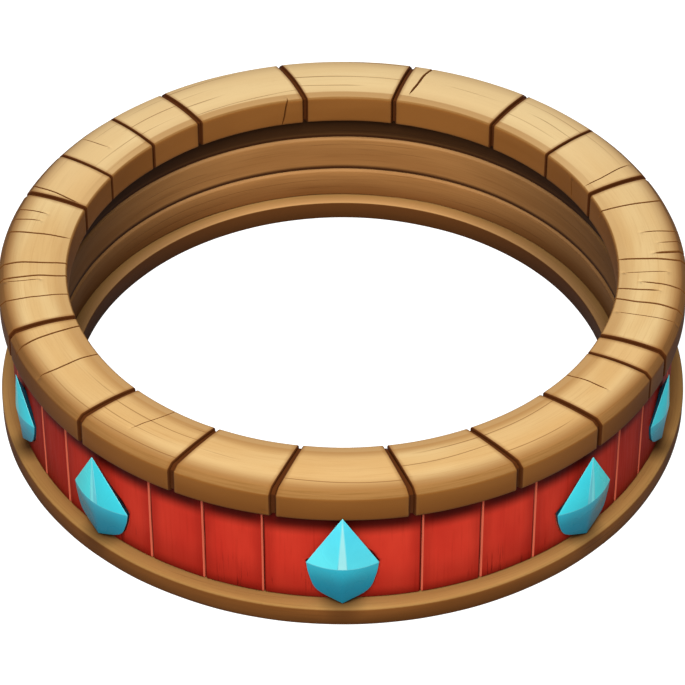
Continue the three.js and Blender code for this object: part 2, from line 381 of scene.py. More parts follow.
def swept_piece(
    node, span, outline, material, rounding, across_of, inset_of, cracks=(), lap=None, turn_of=None,
):
    """A piece bent around the ring, with rounded ends, cracks and perhaps a lap at its end.

    Turn_of(share, radius) is how far a point turns about the axis, for ends that lean.
    """
    start, end = span
    normals = outline_normals(outline)
    radius = sum(point.x for point in outline) / len(outline)
    seed = start * 3.7
    stations = swept_stations(start, end, radius, rounding, cracks, seed)
    if lap:
        lap_end, depth = lap
        stations += [Station(lambda _, angle=angle: angle, inset=depth) for angle in (end, lap_end)]
    ends_to_front = [angle for angle, side in ((start, 1), (end, -1)) if side * math.sin(angle) > 0]
    vertices = []
    values = {"edge_mm": [], "front_edge_mm": [], "crack": []}
    for station in stations:
        for point, normal in zip(outline, normals):
            across = across_of(point)
            angle = station.angle(across)
            groove = 0.0
            if station.crack:
                groove = station.floor * crack_strength(station.crack, across)
            depth = groove * (station.crack["depth"] if station.crack else 0.0)
            pull = station.inset * inset_of(point) + depth
            pull -= surface_wave(at(angle, point.x, point.y), seed) * inset_of(point)
            place = point - normal * pull
            turn = turn_of((angle - start) / (end - start), place.x) if turn_of else 0.0
            vertices.append(at(angle + turn, place.x, place.y))
            values["edge_mm"].append(min(angle - start, end - angle) * point.x / MM)
            to_front = min((abs(angle - edge) for edge in ends_to_front), default=1.0)
            values["front_edge_mm"].append(to_front * point.x / MM)
            values["crack"].append(groove)
    count = len(outline)
    total = len(vertices)
    faces = [tuple(range(count)), tuple(range(total - 1, total - count - 1, -1))]
    faces += band_faces(len(stations), count, closed=False)
    values["tone"] = [noise.noise(Vector((seed * 5, 0.5, 0.5))) + 0.5] * total
    values["seed"] = [seed] * total
    piece = new_piece(node, "_shaped", vertices, faces, material, values)
    piece.data.set_sharp_from_angle(angle=SHARP_ANGLE)
    return piece


# ---- Node trees ----

SHEEN = 0.35                    # strength of the wood's reflections, tinted by the wood
PAINT_SHEEN = 0.15
BUMP_DEPTH = 0.3 * MM
DEEP_SHADE = (42, 19, 8)              # display colour of painted deep shade, in the darkest corners


def linear(value):
    share = value / 255
    return share / 12.92 if share <= 0.04045 else ((share + 0.055) / 1.055) ** 2.4


def colour(red, green, blue):
    """A colour from 0 to 255 display values, as the shaders need it."""
    return (linear(red), linear(green), linear(blue), 1.0)


class Tree:
    """Short calls that build one material's node tree."""

    def __init__(self, name):
        self.material = bpy.data.materials.new(name)
        self.material.use_nodes = True
        self.nodes = self.material.node_tree.nodes
        self.links = self.material.node_tree.links
        self.shader = self.nodes["Principled BSDF"]

    def new(self, kind):
        return self.nodes.new("ShaderNode" + kind)

    def put(self, value, socket):
        """Links a socket's value to another socket, or sets a plain value."""
        if isinstance(value, bpy.types.NodeSocket):
            self.links.new(value, socket)
        else:
            socket.default_value = value

    def fill(self, node, values):
        """Puts values into a node's first inputs and gives the node's first output."""
        for value, socket in zip(values, node.inputs):
            self.put(value, socket)
        return node.outputs[0]

    def math(self, operation, *values):
        node = self.new("Math")
        node.operation = operation
        return self.fill(node, values)

    def times(self, first, second):
        return self.math("MULTIPLY", first, second)

    def smooth(self, value, low, high, to_low=0.0, to_high=1.0):
        """Goes smoothly from to_low to to_high as the value goes from low to high."""
        node = self.new("MapRange")
        node.interpolation_type = "SMOOTHSTEP"
        return self.fill(node, (value, low, high, to_low, to_high))

    def mix(self, factor, first, second):
        node = self.new("Mix")
        node.data_type = "RGBA"
        self.put(factor, node.inputs["Factor"])
        self.put(first, node.inputs[6])
        self.put(second, node.inputs[7])
        return node.outputs[2]

    def fade(self, value, low, high, first, second):
        """Goes from one display colour to another as the value goes from low to high."""
        return self.mix(self.smooth(value, low, high), colour(*first), colour(*second))

    def over(self, painted, *layers):
        """Lays display colours over a colour, each by the product of the amounts after it."""
        for display, amount, *amounts in layers:
            for further in amounts:
                amount = self.times(amount, further)
            painted = self.mix(amount, painted, colour(*display))
        return painted

    def attribute(self, name):
        node = self.new("Attribute")
        node.attribute_name = name
        return node.outputs["Fac"]

    def combine(self, x, y, z):
        return self.fill(self.new("CombineXYZ"), (x, y, z))

    def separate(self, vector):
        parts = self.new("SeparateXYZ")
        self.fill(parts, (vector,))
        return parts.outputs

    def noise(self, vector, w, scale, detail, roughness=0.5, distortion=0.0):
        node = self.new("TexNoise")
        node.noise_dimensions = "4D"
        self.put(vector, node.inputs["Vector"])
        self.put(w, node.inputs["W"])
        self.put(scale, node.inputs["Scale"])
        self.put(detail, node.inputs["Detail"])
        self.put(roughness, node.inputs["Roughness"])
        self.put(distortion, node.inputs["Distortion"])
        return node.outputs["Fac"]

    def coordinates(self):
        return self.new("TexCoord").outputs["Object"]

    def place(self):
        """(x, y, z, radius) of the shaded point in the ring's frame."""
        x, y, z = self.separate(self.coordinates())
        square = self.math("ADD", self.times(x, x), self.times(y, y))
        return x, y, z, self.math("SQRT", square)

    def sideways(self):
        """0 at the front and back of the ring, and 1 at its left and right."""
        x, _, _, radius = self.place()
        return self.math("ABSOLUTE", self.math("DIVIDE", x, radius))

    def facing_up(self):
        """The upward part of the surface normal."""
        geometry = self.new("NewGeometry")
        return self.separate(geometry.outputs["Normal"])["Z"]

    def ring_noise(self, along, across, seed, detail, roughness=0.5):
        """Noise stretched around the ring. Along and across are features per metre."""
        x, y, z, radius = self.place()
        turn = along * RIM_MIDDLE
        unit_x = self.times(self.math("DIVIDE", x, radius), turn)
        unit_y = self.times(self.math("DIVIDE", y, radius), turn)
        vector = self.combine(unit_x, unit_y, self.times(z, across))
        w = self.math("ADD", self.times(radius, across), seed)
        return self.noise(vector, w, 1.0, detail, roughness)

    def upright_noise(self, along, across, seed, detail, roughness=0.5, distortion=0.0):
        """Noise stretched upwards. Along and across are features per metre."""
        x, y, z, _ = self.place()
        vector = self.combine(self.times(x, across), self.times(y, across), self.times(z, along))
        return self.noise(vector, seed, 1.0, detail, roughness, distortion)

    def grain_lines(self, across, spacing, width, wander, seed, share):
        """Thin broken lines around the ring, 1 on a line. Across is the distance they step by."""
        drift = self.times(self.ring_noise(9, 25, seed, 2), wander)
        cells = self.math("DIVIDE", self.math("ADD", across, drift), spacing)
        cells = self.math("ADD", cells, seed)
        distance = self.math("ABSOLUTE", self.math("SUBTRACT", self.math("FRACT", cells), 0.5))
        thin = self.times(self.ring_noise(25, 300, seed, 1), 2 * width / spacing)
        line = self.smooth(distance, 0.0, thin, 1, 0)
        breaks = self.ring_noise(13, 160, self.math("ADD", seed, 5.0), 1)
        return self.times(line, self.smooth(breaks, share, share + 0.08))

    def relief(self, fibre, fibre_share, cuts):
        """Heights for the bump: raised fibres, less the lines cut into them."""
        return self.math("SUBTRACT", self.times(fibre, fibre_share), cuts)

    def finish(self, painted, roughness, height=None, strength=0.3, sheen=SHEEN):
        """The finished material. Its reflections are tinted by its own colour."""
        self.shader.inputs["Specular IOR Level"].default_value = sheen
        self.put(painted, self.shader.inputs["Specular Tint"])
        self.put(painted, self.shader.inputs["Base Color"])
        self.put(roughness, self.shader.inputs["Roughness"])
        if height is not None:
            bump = self.new("Bump")
            bump.inputs["Strength"].default_value = strength
            bump.inputs["Distance"].default_value = BUMP_DEPTH
            self.links.new(height, bump.inputs["Height"])
            self.links.new(bump.outputs[0], self.shader.inputs["Normal"])
        return self.material


# ---- Materials ----


def rim_top(tree, share, forward, broad, fibre, lines):
    """The pale crown of the rim, with painted shade towards its outer and inner edges and on its inner
    chamfer, and painted light on its back half.
    """
    # masks for painted shade at the inner edge and on the inner chamfer
    inwards = tree.smooth(share, CHAMFER_SHARE, CHAMFER_SHARE / 2, 1, 0)
    chamfer = tree.smooth(share, CHAMFER_SHARE - 0.02, CHAMFER_SHARE + 0.03, 1, 0)
    front_or_back = tree.math("ABSOLUTE", forward)
    top = tree.fade(broad, 0.35, 0.65, (213, 183, 130), (202, 165, 110))
    top = tree.over(
        top,
        ((198, 150, 90), tree.attribute("tone"), 0.5),
        ((172, 124, 70), tree.smooth(fibre, 0.45, 0.75, 0, 0.3)),
        # darker towards the outer edge: painted shade of the crown falling away, partly browning of
        # the edge
        ((144, 96, 46), tree.smooth(share, 0.3, 0.85, 0, 0.85)),
        # painted light: the back half of the crown is paler
        ((228, 202, 152), tree.smooth(forward, -0.8, 0.0, 0.5, 0.0)),
        # painted shade towards the inner edge, most at the front
        ((172, 129, 78), inwards, tree.smooth(forward, -0.2, 0.8, 0.2, 1.0)),
        ((124, 80, 38), lines, 0.75),
        # painted shade on the inner chamfer, most at the front and back
        ((180, 141, 92), chamfer, tree.smooth(front_or_back, 0.3, 0.8, 0.25, 1.0)),
    )
    return top


def rim_side(tree, share, height, broad):
    """The brown sides of the rim, with painted shade darkest at the foot of the outer one."""
    # painted shade: the outer side darkens towards its foot
    side = tree.fade(height, RIM_FOOT, RIM_HEAD - 4 * MM, (124, 75, 31), (145, 92, 40))
    side = tree.mix(tree.smooth(share, -0.5, 0.5), colour(150, 96, 44), side)
    return tree.over(side, ((118, 70, 28), tree.smooth(broad, 0.35, 0.7, 0, 0.35)))


def rim_wood():
    """Light tan worn wood, with painted shade on its sides, chamfers and flanks and partly near its
    ends; its joints and cracks are darker.
    """
    tree = Tree("rim_wood")
    seed = tree.attribute("seed")
    edge = tree.attribute("edge_mm")
    _, y, height, radius = tree.place()
    broad = tree.ring_noise(14, 60, seed, 2)
    fibre = tree.ring_noise(45, 1500, seed, 4, 0.6)
    share = tree.math("DIVIDE", tree.math("SUBTRACT", radius, RIM_MIDDLE), RIM_HALF_WIDTH)
    forward = tree.math("DIVIDE", y, tree.times(radius, -1.0))
    lines = tree.grain_lines(radius, 7 * MM, 0.4 * MM, 9 * MM, seed, 0.5)
    lines = tree.times(lines, tree.smooth(tree.math("ABSOLUTE", forward), 0.35, 0.8))
    up = tree.facing_up()
    # painted light and shade: the crown, chamfers and sides take lit and shaded copies of the wood by
    # which way they face
    chamfer = tree.fade(fibre, 0.4, 0.7, (151, 108, 60), (138, 97, 50))
    side = rim_side(tree, share, height, broad)
    painted = tree.mix(tree.smooth(up, 0.25, 0.55), side, chamfer)
    top = rim_top(tree, share, forward, broad, fibre, lines)
    painted = tree.mix(tree.smooth(up, 0.8, 0.97), painted, top)
    # painted shade on the flanks and outer edge at the ring's left and right, which face away from the
    # lamps
    outer_edge = tree.smooth(share, 0.6, 0.95)
    flank = tree.math("MAXIMUM", tree.smooth(up, 0.5, 0.9, 0.5, 0), outer_edge)
    side_shade = tree.smooth(tree.sideways(), 0.6, 0.95, 0.0, 0.55)
    reach = tree.math("ADD", tree.times(tree.ring_noise(60, 200, seed, 2), 2.4), 1.2)
    painted = tree.over(
        painted,
        ((84, 48, 24), flank, side_shade),
        # browner near the block ends: partly edge staining, partly painted shade beside the joints
        ((134, 88, 42), tree.smooth(edge, 0.6, reach, 0.5, 0.0)),
        ((82, 42, 16), tree.smooth(edge, 0.35, 0.85, 1, 0)),
        ((98, 54, 22), tree.smooth(tree.attribute("crack"), 0.0, 0.7)),
    )
    rough = tree.smooth(broad, 0.2, 0.8, 0.5, 0.68)
    return tree.finish(painted, rough, tree.relief(fibre, 0.35, lines))


def turned_wood(name, lit_top_colours, shaded_side_colours, dark):
    """(tree, colour, relief, roughness) of wood with its grain running around the ring, painted lit on
    its tops and shaded on its sides.
    """
    tree = Tree(name)
    _, _, height, radius = tree.place()
    broad = tree.ring_noise(9, 70, 0.0, 3)
    fibre = tree.ring_noise(30, 1300, 2.0, 4, 0.6)
    top = tree.fade(broad, 0.3, 0.7, *lit_top_colours)
    side = tree.fade(broad, 0.3, 0.7, *shaded_side_colours)
    # painted light and shade: upward faces take the lit top colours, the rest the shaded side colours
    painted = tree.mix(tree.smooth(tree.facing_up(), 0.15, 0.6), side, top)
    across = tree.math("ADD", height, radius)
    lines = tree.grain_lines(across, 4.5 * MM, 0.3 * MM, 7 * MM, 3.0, 0.52)
    fibres = tree.smooth(fibre, 0.45, 0.8, 0, 0.3)
    painted = tree.over(painted, (dark, fibres), (dark, lines, 0.45))
    rough = tree.smooth(broad, 0.2, 0.8, 0.52, 0.7)
    return tree, painted, tree.relief(fibre, 0.35, lines), rough


def lining_shade(tree, painted, radius):
    """The colour with painted shade over the lining, more towards the left and right of the ring."""
    inside = tree.smooth(radius, PLANK_INNER - 4 * MM, PLANK_INNER, 1, 0)
    # painted shade, darkest on the lining at the ring's left and right
    return tree.over(painted, (DEEP_SHADE, tree.smooth(tree.sideways(), 0.3, 0.95, 0.0, 0.6), inside))


def base_wood():
    """Brown wood with painted light and shade: darker on its sides, darkest around the hole."""
    tree, painted, relief, rough = turned_wood(
        "base_wood", ((172, 130, 76), (158, 116, 64)), ((142, 88, 40), (120, 72, 30)), (92, 54, 22),
    )
    _, _, height, radius = tree.place()
    side = tree.smooth(tree.facing_up(), 0.3, 0.7, 1, 0)
    # painted light on the ledge, palest at the hole's edge
    worn = tree.smooth(radius, BASE_INNER + 0.5 * MM, BASE_INNER + 6 * MM, 0.7, 0.0)
    # painted shade on the flange in the corner at the foot of the plank wall
    outside = tree.smooth(radius, PLANK_INNER, PLANK_OUTER, 0.0, 0.4)
    wall_shade = tree.smooth(radius, PLANK_OUTER + 0.5 * MM, PLANK_OUTER + 5 * MM, 1, 0)
    # painted shade on the face around the hole and on the sides towards the floor
    around_hole = tree.smooth(radius, BASE_INNER + 1.0 * MM, BASE_INNER + 3.0 * MM, 1, 0)
    low = tree.smooth(height, BASE_FOOT, BASE_HEAD - 2 * MM, 0.55, 0.0)
    painted = tree.over(
        painted,
        ((202, 154, 100), worn),
        ((132, 84, 44), outside, wall_shade),
        ((104, 62, 28), side, around_hole),
        ((62, 36, 14), side, low),
    )
    painted = lining_shade(tree, painted, radius)
    # painted shadow under each gem
    painted = tree.over(painted, (DEEP_SHADE, tree.attribute("under_gem"), 0.95))
    return tree.finish(painted, rough, relief)


def hoop_wood():
    """Mid brown wood, with painted shade in the joint at each hoop's foot and near the base, and
    painted shadow under the rim.
    """
    tree, painted, relief, rough = turned_wood(
        "hoop_wood", ((190, 140, 88), (176, 126, 76)), ((184, 130, 74), (162, 110, 60)), (100, 58, 24),
    )
    _, _, height, radius = tree.place()
    # painted shade in the joint at each hoop's foot
    joint_shade = tree.smooth(tree.attribute("foot_mm"), 1.0, 3.0, 0.95, 0.0)
    above_base = tree.smooth(height, UPPER_HOOP_FOOT / 4, UPPER_HOOP_FOOT / 2, 0.0, 1.0)
    # painted shade, darker towards the base
    base_shade = tree.smooth(height, BASE_HEAD, BASE_HEAD + 15 * MM, 0.65, 0.0)
    painted = tree.over(
        painted,
        ((64, 33, 15), joint_shade, above_base),
        ((98, 56, 24), base_shade),
    )
    painted = lining_shade(tree, painted, radius)
    # painted shadow under the rim
    rim_shadow = tree.smooth(height, UPPER_HOOP_FOOT - 0.3 * MM, UPPER_HOOP_FOOT + 3 * MM, 0, 0.9)
    return tree.finish(tree.over(painted, (DEEP_SHADE, rim_shadow)), rough, relief)


def inner_wood():
    """Dark plain wood of the two hidden rings."""
    tree, painted, relief, rough = turned_wood(
        "inner_wood", ((96, 58, 24), (80, 46, 18)), ((84, 48, 20), (70, 38, 15)), (50, 26, 10),
    )
    return tree.finish(painted, rough, relief)


def paint_scratches(tree, low):
    """Short upright scratches, in patches near the foot of the planks."""
    scratches = tree.upright_noise(55, 1100, 3.0, 2, 0.5, 0.6)
    patches = tree.smooth(tree.upright_noise(40, 70, 9.0, 1), 0.47, 0.6)
    return tree.times(tree.times(tree.smooth(scratches, 0.58, 0.64), patches), low)


def red_paint():
    """Satin red paint over upright grain, scratched near the foot, with a painted highlight on the
    edges facing the front and painted shade under the rim, at the foot, at the sides and towards the
    joints.
    """
    tree = Tree("red_paint")
    seed = tree.attribute("seed")
    edge = tree.attribute("edge_mm")
    _, _, height, _ = tree.place()
    broad = tree.upright_noise(25, 60, seed, 2)
    fibre = tree.upright_noise(35, 900, seed, 4, 0.6)
    low = tree.smooth(height, WALL_FOOT, WALL_FOOT + 24 * MM, 1, 0)
    scratch = paint_scratches(tree, low)
    # masks for painted shadow under the rim and painted shade at the foot
    high = tree.smooth(height, WALL_HEAD - 13.5 * MM, WALL_HEAD - 5 * MM, 0.0, 0.92)
    foot = tree.smooth(height, WALL_FOOT, WALL_FOOT + 7 * MM, 0.6, 0.0)
    # painted highlight on the upright edges that face the front
    front_edge_highlight = tree.smooth(tree.attribute("front_edge_mm"), 0.75, 1.0, 1, 0)
    painted = tree.fade(broad, 0.3, 0.7, (227, 65, 45), (212, 53, 37))
    painted = tree.over(
        painted,
        ((168, 30, 20), tree.attribute("tone"), 0.3),
        ((120, 16, 12), tree.smooth(fibre, 0.5, 0.8, 0, 0.2)),
        ((92, 10, 8), scratch, 0.8),
        # painted shade, darker towards the foot
        ((112, 16, 12), low, 0.45),
        # painted shadow under the rim's overhang
        ((54, 6, 4), high),
        # painted shade in the corner at the foot
        ((84, 12, 7), foot),
        # painted shade at the ring's left and right
        ((92, 8, 5), tree.smooth(tree.sideways(), 0.6, 0.95, 0, 0.55)),
        # painted shade towards the joints
        ((136, 20, 13), tree.smooth(edge, 0.8, 7.0, 0.35, 0.0)),
        ((110, 14, 8), tree.smooth(edge, 0.5, 1.0, 0.7, 0.0)),
        # painted highlight on the edges facing the front
        ((232, 112, 84), front_edge_highlight, tree.smooth(fibre, 0.2, 0.45, 0.6, 0.9)),
        ((84, 10, 6), tree.smooth(edge, 0.0, 0.15, 1, 0)),
    )
    rough = tree.smooth(fibre, 0.2, 0.8, 0.5, 0.7)
    return tree.finish(painted, rough, tree.relief(fibre, 0.3, scratch), 0.25, PAINT_SHEEN)


def gem_rise(tree):
    """How far up a gem the shaded point is, from 0 to 1."""
    return tree.smooth(tree.place()[2], *GEM_HEIGHTS)


def gem_acrylic():
    """Turquoise acrylic, painted lit above the waist and shaded teal below it, with a painted
    highlight on the front strip and painted shade on the facets turned away.
    """
    tree = Tree("gem_acrylic")
    side = tree.attribute("facet")
    facet = tree.math("ABSOLUTE", side)
    x, y, _, radius = tree.place()
    rise = gem_rise(tree)
    cloud = tree.noise(tree.coordinates(), 0, 60, 2)
    frontal = tree.math("DIVIDE", tree.math("ABSOLUTE", y), radius)
    off_front = tree.smooth(frontal, 0.9, 0.98, 1, 0)
    # painted light and shade: the facets above the waist are painted lit, the belly shaded teal
    upper = tree.fade(rise, 0.4, 1.0, (104, 244, 255), (92, 232, 250))
    upper = tree.over(
        upper,
        # painted shade on the facets of the gem's right side
        ((60, 196, 226), tree.smooth(side, 0.5, 1.0, 0, 0.25)),
        # painted light: brighter on the gems away from the front
        ((70, 252, 255), off_front, 0.8),
    )
    lower = tree.fade(rise, 0.0, 0.45, (24, 128, 154), (56, 200, 222))
    painted = tree.mix(tree.math("GREATER_THAN", facet, (BELLY + UPPER) / 2), lower, upper)
    on_strip = tree.math("GREATER_THAN", facet, (UPPER + STRIP) / 2)
    # painted highlight up the front strip, strongest on the gems at the front
    strip_highlight = tree.smooth(frontal, 0.6, 1.0, 0.3, 0.95)
    # painted shade on the facets turned towards the ring's middle
    towards_middle = tree.times(side, tree.math("SIGN", x))
    towards_middle = tree.times(towards_middle, tree.math("SIGN", y))
    shaded = tree.smooth(towards_middle, 0.5, 0.95)
    # painted shade on the flank and back
    behind = tree.math("GREATER_THAN", facet, (STRIP + FLANK) / 2)
    painted = tree.over(
        painted,
        ((182, 255, 255), on_strip, strip_highlight),
        ((44, 160, 200), shaded, off_front, 0.35),
        ((28, 96, 120), behind),
        ((44, 168, 198), tree.smooth(cloud, 0.4, 0.7, 0, 0.12)),
    )
    tree.shader.inputs["Coat Weight"].default_value = 0.08
    tree.shader.inputs["Coat Roughness"].default_value = 0.12
    return tree.finish(painted, tree.smooth(cloud, 0.3, 0.7, 0.22, 0.34))


def gem_arris():
    """The polished broken edges of the gems, painted pale as highlights, darker towards the foot."""
    tree = Tree("gem_arris")
    painted = tree.fade(gem_rise(tree), 0.1, 0.6, (52, 160, 182), (132, 240, 250))
    return tree.finish(painted, 0.2)


# ---- Sizes read from the frame ----

BASE_INNER, BASE_OUTER, BASE_FOOT, BASE_HEAD = radii_and_heights("base_ring")
RIM_INNER, RIM_OUTER, RIM_FOOT, RIM_HEAD = radii_and_heights("rim_block_01")
RIM_SHOULDERS = shoulder_heights("rim_block_01")
RIM_MIDDLE = (RIM_INNER + RIM_OUTER) / 2
RIM_HALF_WIDTH = (RIM_OUTER - RIM_INNER) / 2
CHAMFER_SHARE = (chamfer_top("rim_block_01") - RIM_MIDDLE) / RIM_HALF_WIDTH
PLANK_INNER, PLANK_OUTER, WALL_FOOT, WALL_HEAD = radii_and_heights("red_plank_02")
UPPER_HOOP_FOOT = radii_and_heights("upper_hoop")[2]
GEM_HEIGHTS = radii_and_heights("gem_01")[2:]
GEM_SHARES = [0, GEM_STRIP, 0.3, 0.45, 0.6, 0.7, 0.8, 0.9, 1]


# ---- Turned rings ----


def section_heights(node, radius):
    """Heights of a CAD node's vertices at a radius, from low to high."""
    return sorted(
        height for _, r, height in node_points(node) if abs(r - radius) < TOLERANCE
    )


def groove_radii(node, height, inner, outer):
    """The two radii between inner and outer where a CAD ring has corners at a height."""
    radii = sorted(
        r for _, r, h in node_points(node)
        if abs(h - height) < TOLERANCE and inner + TOLERANCE < r < outer - TOLERANCE
    )
    return radii[0], radii[-1]


def build_base_ring(material):
    """The flat ring with its groove, and its painted shadow under each gem."""
    groove_floor = min(
        height for _, _, height in node_points("base_ring")
        if BASE_FOOT + 2 * MM < height < BASE_HEAD - 2 * MM
    )
    groove_in, groove_out = groove_radii("base_ring", groove_floor, BASE_INNER, BASE_OUTER)
    corners = [
        (BASE_INNER, BASE_FOOT, 0.6 * MM),
        (BASE_OUTER, BASE_FOOT, 1.0 * MM),
        (BASE_OUTER, BASE_HEAD, 1.4 * MM),
        (groove_out, BASE_HEAD, GROOVE_ROUND),
        (groove_out, groove_floor, GROOVE_ROUND),
        (groove_in, groove_floor, GROOVE_ROUND),
        (groove_in, BASE_HEAD, GROOVE_ROUND),
        (BASE_INNER, BASE_HEAD, 0.9 * MM),
    ]
    piece = turned_piece("base_ring", corners, material)
    feet = [at(sum(angle_span(gem)) / 2, PLANK_OUTER, BASE_HEAD) for gem in nodes_called("gem")]
    shades = []
    for vertex in piece.data.vertices:
        nearest = min((vertex.co - foot).length for foot in feet)
        shades.append(max(0.0, 1 - nearest / GEM_SHADE_REACH))
    add_values(piece.data, "under_gem", shades)


def build_core_ring(material):
    """The ring behind the planks, with a tongue at its foot and one at its head."""
    inner, outer, foot, head = radii_and_heights("core_ring")
    tongue_in, tongue_out = groove_radii("core_ring", foot, inner, outer)
    corners = [
        (tongue_in, foot, HIDDEN_ROUND),
        (tongue_out, foot, HIDDEN_ROUND),
        (tongue_out, WALL_FOOT, GROOVE_ROUND),
        (outer, WALL_FOOT, HIDDEN_ROUND),
        (outer, WALL_HEAD, HIDDEN_ROUND),
        (tongue_out, WALL_HEAD, GROOVE_ROUND),
        (tongue_out, head, HIDDEN_ROUND),
        (tongue_in, head, HIDDEN_ROUND),
        (tongue_in, WALL_HEAD, GROOVE_ROUND),
        (inner, WALL_HEAD, HIDDEN_ROUND),
        (inner, WALL_FOOT, HIDDEN_ROUND),
        (tongue_in, WALL_FOOT, GROOVE_ROUND),
    ]
    turned_piece("core_ring", corners, material, 4 * MM)


def build_deck_ring(material):
    """The ring under the rim blocks, with a groove in its underside."""
    inner, outer, foot, head = radii_and_heights("deck_ring")
    groove_in, groove_out = groove_radii("deck_ring", foot, inner, outer)
    groove_head = [h for h in section_heights("deck_ring", groove_in) if h > foot + TOLERANCE][0]
    corners = [
        (inner, foot, 0.5 * MM),
        (groove_in, foot, GROOVE_ROUND),
        (groove_in, groove_head, GROOVE_ROUND),
        (groove_out, groove_head, GROOVE_ROUND),
        (groove_out, foot, GROOVE_ROUND),
        (outer, foot, 0.5 * MM),
        (outer, head, 1.0 * MM),
        (inner, head, 1.0 * MM),
    ]
    turned_piece("deck_ring", corners, material, 3 * MM)


def build_hoop(node, material):
    """A lining hoop, worn round along the top of its inner face."""
    inner, outer, foot, head = radii_and_heights(node)
    corners = [
        (inner, foot, 0.5 * MM),
        (outer, foot, 0.4 * MM),
        (outer, head, 0.4 * MM),
        (inner, head, 1.5 * MM),
    ]
    turned_piece(node, corners, material)


# ---- Rim blocks ----


def rim_outline():
    """The saddle section of a rim block, with its corners rounded and its top crowned."""
    points = [(radius, height) for _, radius, height in node_points("rim_block_01")]
    above = [(r, h) for r, h in points if h > max(RIM_SHOULDERS) + TOLERANCE]
    edge_outer, edge_height = max(above)
    edge_inner = min(above)[0]
    lip_inner, lip_outer = groove_radii("rim_block_01", RIM_FOOT, RIM_INNER, RIM_OUTER)
    roof = max(h for h in section_heights("rim_block_01", lip_inner) if h < min(RIM_SHOULDERS))
    crown_middle = (edge_inner + edge_outer) / 2
    crown = []
    for step in range(1, CROWN_STEPS):
        share = 1 - 2 * step / CROWN_STEPS
        rise = (RIM_HEAD - edge_height) * (1 - share * share)
        crown.append((crown_middle + share * (edge_outer - crown_middle), edge_height + rise, 0))
    corners = [
        (lip_outer, RIM_FOOT, LIP_ROUND),
        (RIM_OUTER, RIM_FOOT, BLOCK_CORNER_ROUND),
        (RIM_OUTER, RIM_SHOULDERS[1], BLOCK_CORNER_ROUND),
        (edge_outer, edge_height, BLOCK_CORNER_ROUND),
        *crown,
        (edge_inner, edge_height, BLOCK_CORNER_ROUND),
        (RIM_INNER, RIM_SHOULDERS[0], BLOCK_CORNER_ROUND),
        (RIM_INNER, RIM_FOOT, BLOCK_CORNER_ROUND),
        (lip_inner, RIM_FOOT, LIP_ROUND),
        (lip_inner, roof, HIDDEN_ROUND),
        (lip_outer, roof, HIDDEN_ROUND),
    ]
    return rounded_outline(corners, 1.2 * MM), (lip_inner, lip_outer, roof)


def rim_ends(node):
    """((first angle, last angle) on the rim's middle line, lean of the start, lean of the end)."""
    outer_start, outer_end = angle_span(node, RIM_OUTER - TOLERANCE)
    inner_start, inner_end = angle_span(node, 0, RIM_INNER + TOLERANCE)
    start_lean = math.remainder(outer_start - inner_start, TURN)
    end_lean = math.remainder(outer_end - inner_end, TURN)
    return (outer_start - start_lean / 2, outer_end - end_lean / 2), start_lean, end_lean


def rim_turn(share, radius, start_lean, end_lean):
    """How far a point of a rim block turns about the axis, because the block's ends lean."""
    lean = start_lean + (end_lean - start_lean) * share
    return lean * (radius - RIM_MIDDLE) / (RIM_OUTER - RIM_INNER)


def rim_lap(node, end, end_lean):
    """(last angle, depth) of a CAD rim block's lap beyond its end."""
    reaches = []
    for angle, radius, _ in node_points(node):
        beyond = math.remainder(angle - end, TURN) - rim_turn(1, radius, end_lean, end_lean)
        reaches.append((beyond, radius))
    reach = max(reaches)[0]
    tip = [radius for beyond, radius in reaches if beyond > reach - TOLERANCE / RIM_OUTER]
    return end + reach, RIM_OUTER - max(tip)


def build_rim(material):
    """The rim blocks, each with the cracks that lie between its ends."""
    outline, (lip_inner, lip_outer, roof) = rim_outline()

    def is_inside(point):
        reach = LIP_ROUND + TOLERANCE
        return point.y < roof + TOLERANCE and lip_inner - reach < point.x < lip_outer + reach

    def across_of(point):
        if is_inside(point):
            return None
        share = (point.x - RIM_MIDDLE) / RIM_HALF_WIDTH
        shoulder = RIM_SHOULDERS[share > 0]
        drop = max(0.0, (shoulder - point.y) / (shoulder - RIM_FOOT))
        return share + math.copysign(drop, share)

    def inset_of(point):
        return 0.0 if is_inside(point) else 1.0

    cracks = []
    for angle, first, last, width, depth, lean in RIM_CRACKS:
        cracks.append({
            "angle": angle * DEG,
            "reach": (first, last),
            "width": width * MM,
            "depth": depth * MM,
            "lean": lean * DEG,
        })
    for node in nodes_called("rim_block"):
        (start, end), start_lean, end_lean = rim_ends(node)

        def turn_of(share, radius, leans=(start_lean, end_lean)):
            return rim_turn(share, radius, *leans)

        own = []
        for crack in cracks:
            turned = start + (crack["angle"] - start) % TURN
            if turned < end:
                own.append({**crack, "angle": turned})
        swept_piece(
            node, (start, end), outline, material, BLOCK_END_ROUND, across_of, inset_of, own,
            rim_lap(node, end, end_lean), turn_of,
        )


# ---- Planks ----


def build_planks(material):
    """The planks, as (first angle, last angle, object)."""
    corners = [
        (PLANK_INNER, WALL_FOOT, HIDDEN_ROUND),
        (PLANK_OUTER, WALL_FOOT, PLANK_CORNER_ROUND),
        (PLANK_OUTER, WALL_HEAD, PLANK_CORNER_ROUND),
        (PLANK_INNER, WALL_HEAD, HIDDEN_ROUND),
    ]
    outline = rounded_outline(corners, 2 * MM)

    def across_of(point):
        return (point.y - WALL_FOOT) / (WALL_HEAD - WALL_FOOT)

    def inset_of(point):
        return 1.0 if point.x > (PLANK_INNER + PLANK_OUTER) / 2 else 0.2

    planks = []
    for node in nodes_called("red_plank"):
        start, end = angle_span(node)
        span = (start - PLANK_SWELL / PLANK_OUTER, end + PLANK_SWELL / PLANK_OUTER)
        plank = swept_piece(node, span, outline, material, PLANK_EDGE_ROUND, across_of, inset_of)
        planks.append((*span, plank))
    return planks


# ---- Gems ----


